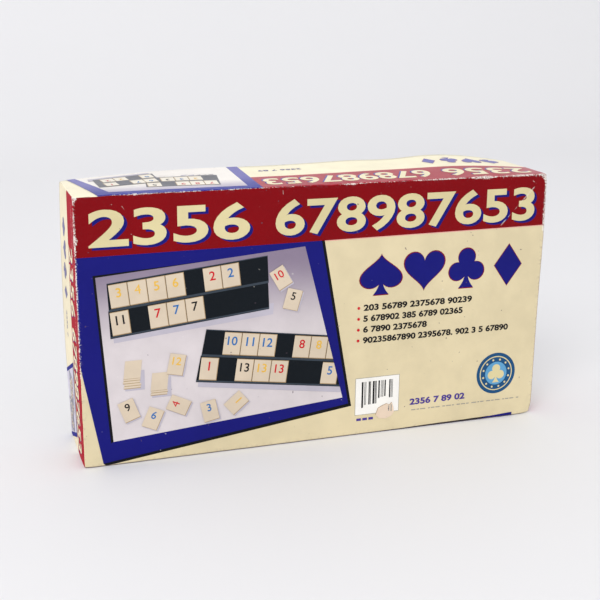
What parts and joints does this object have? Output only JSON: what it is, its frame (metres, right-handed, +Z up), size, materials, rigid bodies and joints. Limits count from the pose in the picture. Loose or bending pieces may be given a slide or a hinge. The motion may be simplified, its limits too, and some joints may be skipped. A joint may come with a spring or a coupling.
{
  "type": "rummy tile case",
  "caption": "Telescoping paperboard game case with a formed insert that holds tile racks, rack holders, stacks of number tiles and a rule booklet.",
  "frame": {"origin": "middle of the underside, with the case standing on one long wall", "axes": "+X along the length, to the right seen from the printed front; -Y out of the printed front, which the lid is lifted towards; +Z up"},
  "size_m": [0.363, 0.07, 0.2041],
  "materials": {
    "printed_board": "coated print on paperboard, worn at the folds",
    "plain_board": "uncoated greyish paperboard",
    "insert_plastic": "flocked grey formed sheet",
    "rack_plastic": "satin black moulding",
    "holder_plastic": "matt black moulding",
    "tile_plastic": "polished ivory melamine",
    "booklet_paper": "coated paper",
    "page_paper": "uncoated paper",
    "staple_wire": "bright wire"
  },
  "bodies": {
    "base": {"base_tray": "plain_board"},
    "insert": {"insert_platform": "insert_plastic", "insert_well_racks_lower": "insert_plastic", "insert_well_racks_upper": "insert_plastic", "insert_well_tiles": "insert_plastic", "insert_well_holders": "insert_plastic"},
    "tiles_red_1": {"tiles_red_1": "tile_plastic"},
    "tiles_red_2": {"tiles_red_2": "tile_plastic"},
    "tiles_blue_1": {"tiles_blue_1": "tile_plastic"},
    "tiles_blue_2": {"tiles_blue_2": "tile_plastic"},
    "tiles_yellow_1": {"tiles_yellow_1": "tile_plastic"},
    "tiles_yellow_2": {"tiles_yellow_2": "tile_plastic"},
    "tiles_black_1": {"tiles_black_1": "tile_plastic"},
    "tiles_black_2": {"tiles_black_2": "tile_plastic"},
    "tiles_joker": {"tiles_joker": "tile_plastic"},
    "rack_holders_1": {"rack_holders_1": "holder_plastic"},
    "rack_holders_2": {"rack_holders_2": "holder_plastic"},
    "rack_lower_inner": {"rack_lower_inner": "rack_plastic"},
    "rack_lower_outer": {"rack_lower_outer": "rack_plastic"},
    "rack_upper_inner": {"rack_upper_inner": "rack_plastic"},
    "rack_upper_outer": {"rack_upper_outer": "rack_plastic"},
    "booklet": {"booklet_cover": "booklet_paper", "booklet_pages": "page_paper", "booklet_staples": "staple_wire"},
    "lid": {"lid": "printed_board"}
  },
  "joints": [
    {"name": "insert_lift", "type": "slide", "parent": "base", "child": "insert", "axis": [0, -1, 0], "range_m": [0, 0.075]},
    {"name": "tiles_red_1_lift", "type": "slide", "parent": "insert", "child": "tiles_red_1", "axis": [0, -1, 0], "range_m": [0, 0.065]},
    {"name": "tiles_red_2_lift", "type": "slide", "parent": "tiles_red_1", "child": "tiles_red_2", "axis": [0, -1, 0], "range_m": [0, 0.065]},
    {"name": "tiles_blue_1_lift", "type": "slide", "parent": "tiles_red_2", "child": "tiles_blue_1", "axis": [0, -1, 0], "range_m": [0, 0.065]},
    {"name": "tiles_blue_2_lift", "type": "slide", "parent": "tiles_blue_1", "child": "tiles_blue_2", "axis": [0, -1, 0], "range_m": [0, 0.065]},
    {"name": "tiles_yellow_1_lift", "type": "slide", "parent": "tiles_blue_2", "child": "tiles_yellow_1", "axis": [0, -1, 0], "range_m": [0, 0.065]},
    {"name": "tiles_yellow_2_lift", "type": "slide", "parent": "tiles_yellow_1", "child": "tiles_yellow_2", "axis": [0, -1, 0], "range_m": [0, 0.065]},
    {"name": "tiles_black_1_lift", "type": "slide", "parent": "tiles_yellow_2", "child": "tiles_black_1", "axis": [0, -1, 0], "range_m": [0, 0.065]},
    {"name": "tiles_black_2_lift", "type": "slide", "parent": "tiles_black_1", "child": "tiles_black_2", "axis": [0, -1, 0], "range_m": [0, 0.065]},
    {"name": "tiles_joker_lift", "type": "slide", "parent": "tiles_black_2", "child": "tiles_joker", "axis": [0, -1, 0], "range_m": [0, 0.065]},
    {"name": "rack_holders_1_lift", "type": "slide", "parent": "tiles_joker", "child": "rack_holders_1", "axis": [0, -1, 0], "range_m": [0, 0.065]},
    {"name": "rack_holders_2_lift", "type": "slide", "parent": "rack_holders_1", "child": "rack_holders_2", "axis": [0, -1, 0], "range_m": [0, 0.065]},
    {"name": "rack_lower_inner_lift", "type": "slide", "parent": "rack_holders_2", "child": "rack_lower_inner", "axis": [0, -1, 0], "range_m": [0, 0.04]},
    {"name": "rack_lower_outer_lift", "type": "slide", "parent": "rack_lower_inner", "child": "rack_lower_outer", "axis": [0, -1, 0], "range_m": [0, 0.025]},
    {"name": "rack_upper_inner_lift", "type": "slide", "parent": "rack_lower_outer", "child": "rack_upper_inner", "axis": [0, -1, 0], "range_m": [0, 0.04]},
    {"name": "rack_upper_outer_lift", "type": "slide", "parent": "rack_upper_inner", "child": "rack_upper_outer", "axis": [0, -1, 0], "range_m": [0, 0.025]},
    {"name": "booklet_lift", "type": "slide", "parent": "rack_upper_outer", "child": "booklet", "axis": [0, -1, 0], "range_m": [0, 0.02]},
    {"name": "lid_lift", "type": "slide", "parent": "booklet", "child": "lid", "axis": [0, -1, 0], "range_m": [0, 0.1]}
  ]
}
